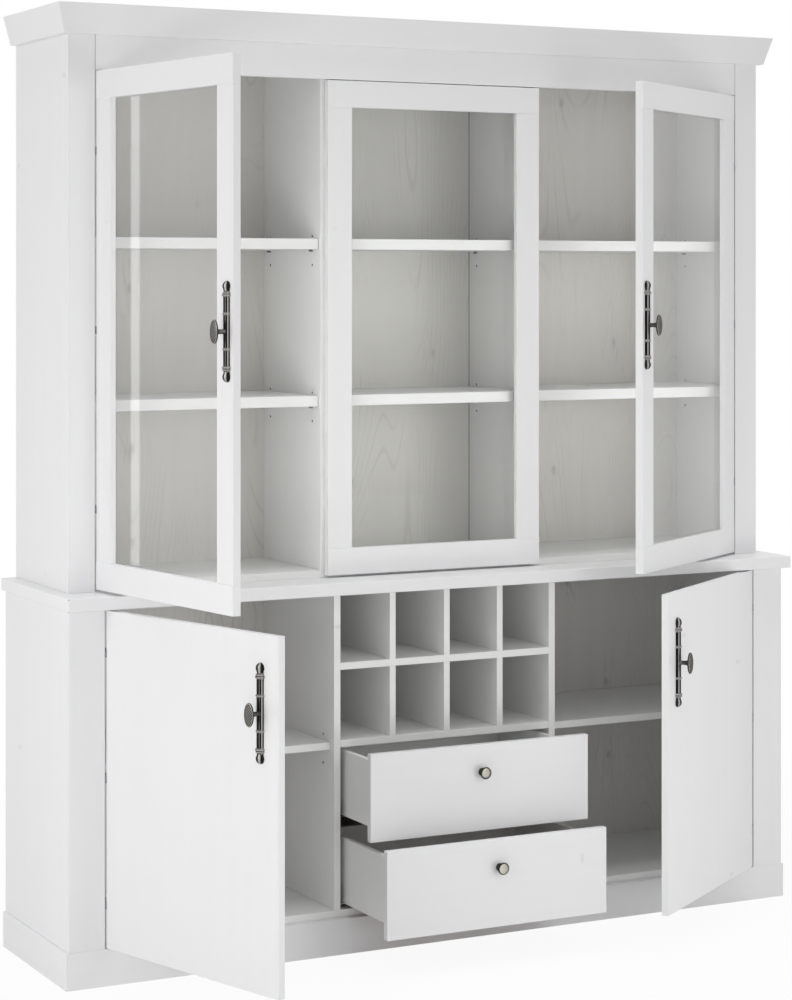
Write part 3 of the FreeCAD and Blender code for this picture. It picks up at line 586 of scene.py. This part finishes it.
def giveSides(mesh, material, chosen):
    mesh.materials.append(material)
    mesh.polygons.foreach_set("material_index", chosen.astype(np.int32))


def easedBoard(name, places, tris, node, material, look):
    thing = wholeSides(name, places, tris, look)
    mesh = thing.data
    spots = readAll(mesh.vertices, "co", 3)
    facing = readAll(mesh.polygons, "normal", 3)
    sizes = readAll(mesh.polygons, "loop_total", 1, np.int32)
    easeEdges(thing, spots, facing, sizes, look)
    giveMaterial(thing, material)
    walls = holeWalls(mesh, spots, facing, sizes, look)
    # the hole walls are raw chipboard with painted shade, near black
    if walls.any():
        giveSides(mesh, chipboardShaded, walls)
    if "drawer_floor" in node:             # its underside is bare
        giveSides(mesh, hardboard, facing[:, 2] < -look["towards"])
    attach(thing, bodyOf[node])
    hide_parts(node)


# The way a board's print runs: along its longest side
def grainOf(node, places, tris):
    spots = places[np.unique(tris)]
    long = spots.max(axis=0) - spots.min(axis=0)
    prints = foil
    if any(word in node for word in innerNames):
        # the base and the rack take the lighter copy, painted light
        prints = foilLowerLit if node.startswith(("base", "rack")) else foilInner
    if long[2] >= max(long[0], long[1]):
        return prints["z"]
    if bodyOf[node] in foilTurned:
        return foilTurned[bodyOf[node]]
    return prints["x"] if long[0] >= long[1] else prints["y"]


boards = 0
for node, thing in frame["nodes"].items():
    slot = slotOf[node]
    if slot in ("white_board", "drawer_board"):
        for count, (places, tris) in enumerate(solidsOf(thing), 1):
            name = "%s_board_%d" % (node, count)
            easedBoard(name, places, tris, node, grainOf(node, places, tris), boardLook)
            boards += 1
    elif slot == "back_panel":
        giveMaterial(thing, backBoards[node])
    elif slot == "clear_glass":
        giveMaterial(thing, glass)
    elif slot == "pewter_metal":
        giveMaterial(thing, pewter)
    else:
        giveMaterial(thing, steel)
print("boards:", boards)


crease = math.radians(48)                  # a closed surface is smooth up to this angle


# A closed surface from a grid of points: rows run from the first pole to the last, columns go
# round. The poles' own rows are drawn together into one point each.
def closedSurface(name, grid, body, node, material, uv=None):
    rows, columns = grid.shape[:2]
    inner = np.arange((rows - 2) * columns).reshape(rows - 2, columns)
    first = (rows - 2) * columns           # the numbers of the two poles
    last = first + 1
    poles = [grid[0].mean(axis=0), grid[-1].mean(axis=0)]
    points = np.concatenate([grid[1:-1].reshape(-1, 3), poles])
    a, b = inner[:-1], inner[1:]
    quads = np.stack([a, np.roll(a, -1, axis=1), np.roll(b, -1, axis=1), b], axis=2).reshape(-1, 4)
    fanTop = np.stack([np.full(columns, first), np.roll(inner[0], -1), inner[0]], axis=1)
    fanEnd = np.stack([np.full(columns, last), inner[-1], np.roll(inner[-1], -1)], axis=1)
    mesh = bpy.data.meshes.new(name)
    mesh.from_pydata(points.tolist(), [], quads.tolist() + fanTop.tolist() + fanEnd.tolist())
    mesh.polygons.foreach_set("use_smooth", np.ones(len(mesh.polygons), dtype=bool))
    if uv is not None:
        flat = np.concatenate([uv[1:-1].reshape(-1, 2), [uv[0].mean(axis=0), uv[-1].mean(axis=0)]])
        corners = readAll(mesh.loops, "vertex_index", 1, np.int32)
        mesh.uv_layers.new(name="face").data.foreach_set("uv", flat[corners].ravel())
    tris = np.concatenate([quads[:, [0, 1, 2]], quads[:, [0, 2, 3]], fanTop, fanEnd])
    one, two, three = points[tris[:, 0]], points[tris[:, 1]], points[tris[:, 2]]
    if np.einsum("ij,ij->", one, np.cross(two, three)) < 0:
        mesh.flip_normals()                # the volume came out negative: the faces point inwards
    mesh.set_sharp_from_angle(angle=crease)
    mesh.update()
    thing = bpy.data.objects.new(name, mesh)
    bpy.context.scene.collection.objects.link(thing)
    giveMaterial(thing, material)
    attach(thing, body)
    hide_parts(node)


# From a door's own place (along it, outwards negative, height) to the cabinet's:
# the place turned by the door's angle, and moved to its hinge line
def hung(door, points):
    angle = math.radians(door["turn"])
    x, y, z = points[..., 0], points[..., 1], points[..., 2]
    return np.stack([door["hinge"][0] + x * math.cos(angle) - y * math.sin(angle),
                     door["hinge"][1] + x * math.sin(angle) + y * math.cos(angle), z], axis=-1)


handleLook = {
    "along": {"upper": 0.52533, "lower": 0.495},       # from the hinge line to the bar
    "height": {"upper": 1.3885, "lower": 0.6365},
    "bar": 0.0087,                         # radius of the half-round bar about the door's face
    "barColumns": (33, 7),                 # round its front, and over its flat back
    "clear": 0.00002,                      # a hair between bar and door
    "half": 0.1,
    "plain": [0.0, 0.012, 0.024, 0.05, 0.06],          # heights on the bar between its rings
    "ball": (0.0893, 0.0103, 0.0107),      # centre, radius and half height of the end balls
    "waist": (0.0795, 0.0035, 0.0078),     # between ball and collar: centre, half height, radius
    "rings": [(0.0350, 0.0016, 0.0108), (0.0713, 0.0023, 0.0117), (0.0757, 0.0014, 0.0109)],
    "ringRoot": 0.0090,
    "steps": (16, 9),                      # rows on a ball, and on a ring or waist
    "ballFrom": -0.70,                     # the ball's rows start at this angle to its middle
    "beside": 1.02,                        # a ring has a row on each side, at so many half heights
    "stemGrid": (28, 40),                  # rows and columns
    "stem": [(0.004, 0.0062), (0.0088, 0.0054), (0.011, 0.0047), (0.016, 0.0045), (0.021, 0.0049),
             (0.0245, 0.0060), (0.0270, 0.0072), (0.0285, 0.0078)],      # outwards, radius
    "oval": {"depth": 0.0313, "tall": 0.0240, "wide": 0.0135},
    # the grip's section from its back pole to its front pole: share of the oval, mm outwards
    "section": [(0.00, -3.2), (0.30, -3.2), (0.60, -3.1), (0.80, -2.9), (0.91, -2.5),
                (0.965, -1.9), (0.990, -1.1), (0.995, -0.3), (0.985, 0.35), (0.955, 0.75),
                (0.938, 0.95), (0.940, 1.25), (0.945, 1.55), (0.925, 1.95), (0.900, 2.05),
                (0.880, 2.15), (0.860, 2.45), (0.80, 2.95), (0.70, 3.40), (0.55, 3.80),
                (0.35, 4.08), (0.15, 4.20), (0.00, 4.22)],
    "beads": 52,
    "beadColumns": 4,
    "beadHeight": 0.0004,
    "beadAt": 1.5,                         # mm outwards, and how wide the row is
    "beadWide": 0.4,
    "faceFrom": 2.1,                       # the ribbed cap covers the dome from here, mm outwards
    "faceBack": 1.9,
    "faceInset": 0.02,                     # its back is narrower by this share of the oval
    "faceLift": 0.05,
}


# Radius of the bar at each height: the largest of the rod with its waists, where the radius dips
# by a squared cosine, the balls, an ellipse each, and the rings, each an elliptic arc on its root
def barRadius(height, look):
    z = np.abs(height)
    centre, ball, tall = look["ball"]
    waistAt, waistHalf, waist = look["waist"]
    dip = np.cos(np.clip((z - waistAt) / waistHalf, -1, 1) * math.pi / 2) ** 2
    radius = np.where(z < waistAt + waistHalf, look["bar"] - (look["bar"] - waist) * dip, 0)
    radius = np.maximum(radius, ball * np.sqrt(np.clip(1 - ((z - centre) / tall) ** 2, 0, None)))
    root = look["ringRoot"]
    for at, half, out in look["rings"]:
        arc = root + (out - root) * np.sqrt(np.clip(1 - ((z - at) / half) ** 2, 0, 1))
        radius = np.maximum(radius, np.where(np.abs(z - at) < half, arc, 0))
    return radius


# Heights that follow the turned bar closely: sine steps over each ball and ring, a few on the rod
def barHeights(look):
    onBall, onRing = look["steps"]
    centre, _, tall = look["ball"]
    at, half, _ = look["waist"]
    angle = np.linspace(look["ballFrom"], math.pi / 2, onBall)
    parts = [look["plain"], centre + tall * np.sin(angle), at + half * np.linspace(-1, 1, onRing)]
    beside = look["beside"]
    for at, half, _ in look["rings"]:
        parts.append(at + half * np.sin(np.linspace(-1, 1, onRing) * math.pi / 2))
        parts.append([at - half * beside, at + half * beside])
    up = np.unique(np.round(np.concatenate(parts), 6))
    up = up[up < look["half"] - 1e-6]
    return np.concatenate([-up[:0:-1], up])


# A section (share of the oval, mm outwards) carried round the oval, its radius raised by extra
def gripGrid(look, section, extra, around):
    oval = look["oval"]
    across = (oval["wide"] * section[:, :1] + extra) * np.cos(around)
    up = (oval["tall"] * section[:, :1] + extra) * np.sin(around)
    return np.stack([across, -oval["depth"] - section[:, 1:] / 1000 + 0 * around, up], axis=-1)


def makeHandle(body, look):
    door = doors[body]
    level = body.split("_")[0]
    node = body + "_handle"
    centre = look["along"][level] * door["reach"]
    height = look["height"][level]

    # The bar is half round in front, flat where it lies on the door
    z = barHeights(look)
    radius = np.concatenate([[0], barRadius(z, look), [0]])[:, None]
    z = np.concatenate([[-look["half"]], z, [look["half"]]])[:, None]
    onFront, onBack = look["barColumns"]
    turn = np.concatenate([np.linspace(0, math.pi, onFront),
                           np.linspace(math.pi, 2 * math.pi, onBack)[1:-1]])
    flat = turn > math.pi + 1e-6
    side = np.where(flat, np.interp(turn, [math.pi, 2 * math.pi], [-1, 1]), np.cos(turn))
    front = np.where(flat, 0, np.sin(turn))
    up = z + 0 * turn
    bar = np.stack([centre + radius * side, -radius * front - look["clear"], height + up], axis=-1)
    lap = np.where(flat, 0, turn / math.pi) + 0 * z
    closedSurface(body + "_handle_bar", hung(door, bar), body, node, pewterBar,
                  uv=np.stack([lap, up], axis=-1))

    # The stem is a turned waist that flares towards the grip
    rows, columns = look["stemGrid"]
    angle = np.linspace(0, 2 * math.pi, columns, endpoint=False)
    stops = np.array(look["stem"])
    t = np.linspace(stops[0, 0], stops[-1, 0], rows)
    r = np.pad(np.interp(t, stops[:, 0], stops[:, 1]), 2, mode="edge")
    r = np.convolve(r, np.ones(5) / 5, mode="valid")                   # the mean of five rows
    r = np.concatenate([[0], r, [0]])[:, None]
    t = np.concatenate([[t[0]], t, [t[-1]]])[:, None]
    stem = [centre + r * np.cos(angle), 0 * angle - t, height + r * np.sin(angle)]
    closedSurface(body + "_handle_stem", hung(door, np.stack(stem, axis=-1)), body, node, pewter)

    # The oval grip is its section carried round an ellipse, with a row of beads beside the rim
    middle = [centre, 0, height]
    around = np.linspace(0, 2 * math.pi, look["beads"] * look["beadColumns"], endpoint=False)
    section = np.array(look["section"])
    row = np.exp(-((section[:, 1:] - look["beadAt"]) / look["beadWide"]) ** 2) * look["beadHeight"]
    grip = gripGrid(look, section, row * np.abs(np.cos(around * look["beads"] / 2)), around)
    step = np.linspace(0, 1, len(section))[:, None] + 0 * around
    closedSurface(body + "_handle_grip", hung(door, grip + middle), body, node, pewterGrip,
                  uv=np.stack([step, step], axis=-1))

    # The crossed ribs cover the dome in front of the beads, as a thin cap of its own
    cap = section[section[:, 1] > look["faceFrom"]] + [[0.0, look["faceLift"]]]
    back = look["faceBack"]
    cap = np.concatenate([[(0.0, back), (cap[0, 0] - look["faceInset"], back)], cap])
    dome = gripGrid(look, cap, look["faceLift"] / 1000 * (cap[:, :1] > 0), around)
    closedSurface(body + "_handle_face", hung(door, dome + middle), body, node, pewterRibbed,
                  uv=dome[..., [0, 2]])


for body in doors:
    makeHandle(body, handleLook)
print("handles:", len(doors))

# Turned knobs: foot, waist and a head with a rim and a domed face
knobLook = {
    "at": {"upper_drawer": (0.0, -0.3499, 0.405), "lower_drawer": (0.0, -0.4286, 0.211)},
    # radius and distance from the drawer's front, in mm
    "profile": [(0.0, 0.0), (7.0, 0.0), (8.2, 0.3), (8.6, 0.9), (8.2, 1.7), (6.6, 2.5), (5.4, 4.0),
                (4.9, 6.5), (4.9, 9.0), (5.5, 11.5), (7.2, 13.4), (9.8, 14.9), (12.0, 16.2),
                (13.1, 17.5), (13.45, 18.8), (13.3, 20.1), (12.8, 21.0), (12.2, 21.4),
                (11.7, 21.2), (11.3, 21.35), (10.6, 22.3), (9.0, 23.6), (6.8, 24.8), (4.2, 25.6),
                (2.0, 25.95), (0.0, 26.0)],
    "wide": 0.027,
    "columns": 56,
}


def makeKnob(body, look):
    x, y, z = look["at"][body]
    profile = np.array(look["profile"]) / 1000
    radius, out = profile[:, :1], profile[:, 1:]
    angle = np.linspace(0, 2 * math.pi, look["columns"], endpoint=False)
    across = radius * np.cos(angle)
    grid = np.stack([x + across, y - out + 0 * angle, z + radius * np.sin(angle)], axis=-1)
    rise = out / out[-1] + 0 * angle       # 0 at the drawer's front, 1 at the dome
    share = across / look["wide"] + 0.5    # 0 at the knob's left side, 1 at its right
    # the second UV part carries the dome's painted light, lighter to the left
    closedSurface(body + "_knob_turned", grid, body, body + "_knob", pewterKnob,
                  uv=np.stack([rise, share], axis=-1))


for body in knobLook["at"]:
    makeKnob(body, knobLook)
print("knobs:", len(knobLook["at"]))

# The camera stands where the photograph was taken from, upright, with its lens shifted down
viewLook = {"at": (-2.7462, -5.2797, 1.4914), "turn": -27.21, "lens": 116.21, "sensor": 36,
            "shift": (-0.0006, -0.2787), "far": 100}
view = bpy.data.cameras.new("view")
view.sensor_fit = "HORIZONTAL"
view.sensor_width = viewLook["sensor"]
view.lens = viewLook["lens"]
view.shift_x, view.shift_y = viewLook["shift"]
view.clip_end = viewLook["far"]
camera = bpy.data.objects.new("camera", view)
camera.location = viewLook["at"]
camera.rotation_euler = (math.radians(90), 0, math.radians(viewLook["turn"]))
bpy.context.scene.collection.objects.link(camera)
bpy.context.scene.camera = camera

# Studio: pale floor, white surroundings, soft lamps
studioLook = {
    "floorHalf": 30,
    "floorColour": (0.80, 0.80, 0.80),
    "speckle": ((1, 1, 1), 30.0, 2),
    "speckTone": 0.99,
    "floorWhite": 0.93,                    # how much of the floor the camera sees as plain white
    "whiteFrom": (1.28, 2.48),             # this far out it gets plain white
    "whiteScale": 4,                       # a ramp takes 0 to 1, so it counts in so many metres
    "ambient": 0.515,
    # a lamp that isn't mirrored shows in no pane or handle
    "lamps": {
        "top": {"at": (0, -0.55, 9.3), "to": (0, 0, 1.0), "size": (5.6, 3.8), "power": 262},
        "leftNear": {"at": (-2.6, -1.5, 0.8), "to": (-0.6, -0.4, 0.8), "size": (1.0, 0.8),
                     "power": 11.4, "mirrored": False},
        "leftUp": {"at": (-4.53, -0.8, 2.5), "to": (0, 0, 1.0), "size": (1.4, 1.4), "power": 23},
        "rightHigh": {"at": (4.4, 0.15, 3.6), "to": (0, 0, 1.0), "size": (1.8, 1.6), "power": 9},
        "strip": {"at": (-2.417, 1.792, 1.43), "to": (-0.794, -0.2514, 1.43),
                  "size": (0.069, 2.1), "power": 0.72},
        "front": {"at": (0.62, -2.9, 1.3), "to": (0, 0, 1.3), "size": (0.8, 0.8),
                  "power": 7.1, "mirrored": False},
        "frontLow": {"at": (0.9, -2.9, 0.45), "to": (0, 0, 1.0), "size": (1.0, 0.6),
                     "power": 2.0, "mirrored": False},
        "fromFloor": {"at": (0.4, -1.9, 0.08), "to": (0, 0.2, 1.3), "size": (1.6, 0.8),
                      "power": 6.2, "mirrored": False},
    },
}


def addFloor(look):
    half = look["floorHalf"]
    corners = [(-half, -half, 0), (half, -half, 0), (half, half, 0), (-half, half, 0)]
    mesh = bpy.data.meshes.new("floor")
    mesh.from_pydata(corners, [], [(0, 1, 2, 3)])
    floor = bpy.data.objects.new("floor", mesh)
    bpy.context.scene.collection.objects.link(floor)
    b = Bench(bpy.data.materials.new("floor_paint"))
    paint = look["floorColour"]
    specks = tuple(level * look["speckTone"] for level in paint)
    colour = b.mix(b.pattern(*look["speckle"]), paint, specks)
    matt = b.add("ShaderNodeBsdfDiffuse", None, {"Color": colour})
    white = b.add("ShaderNodeEmission", None, {"Color": (1, 1, 1), "Strength": 1.0})
    scale = look["whiteScale"]
    spot = b.place((1 / scale, 1 / scale, 1))
    away = b.add("ShaderNodeVectorMath", {"operation": "LENGTH"}, {0: spot}, out="Value")
    near, far = look["whiteFrom"]
    plain = b.seen() * b.ramp(away, (near / scale, look["floorWhite"]), (far / scale, 1))
    shader = b.add("ShaderNodeMixShader", None, {0: plain, 1: matt, 2: white})
    giveMaterial(floor, b.finish(shader))


def lightWorld(look):
    world = bpy.data.worlds.new("studio")
    bpy.context.scene.world = world
    b = Bench(world)
    b.finish(b.add("ShaderNodeBackground", None, {
        "Color": (1, 1, 1), "Strength": look["ambient"] + (1 - look["ambient"]) * b.seen()}))


def addLamp(name, values):
    lamp = bpy.data.lights.new(name, "AREA")
    lamp.shape = "RECTANGLE"
    lamp.size, lamp.size_y = values["size"]
    lamp.energy = values["power"]
    thing = bpy.data.objects.new(name, lamp)
    x, y, z = np.array(values["to"], dtype=float) - np.array(values["at"], dtype=float)
    thing.visible_glossy = values.get("mirrored", True)
    thing.visible_camera = False
    thing.location = values["at"]
    thing.rotation_euler = (math.atan2(math.hypot(x, y), -z), 0, math.atan2(-x, y))
    bpy.context.scene.collection.objects.link(thing)


addFloor(studioLook)
lightWorld(studioLook)
for name, values in studioLook["lamps"].items():
    addLamp(name, values)
bpy.context.scene.view_settings.view_transform = "Standard"
print("studio: lamps", len(studioLook["lamps"]))
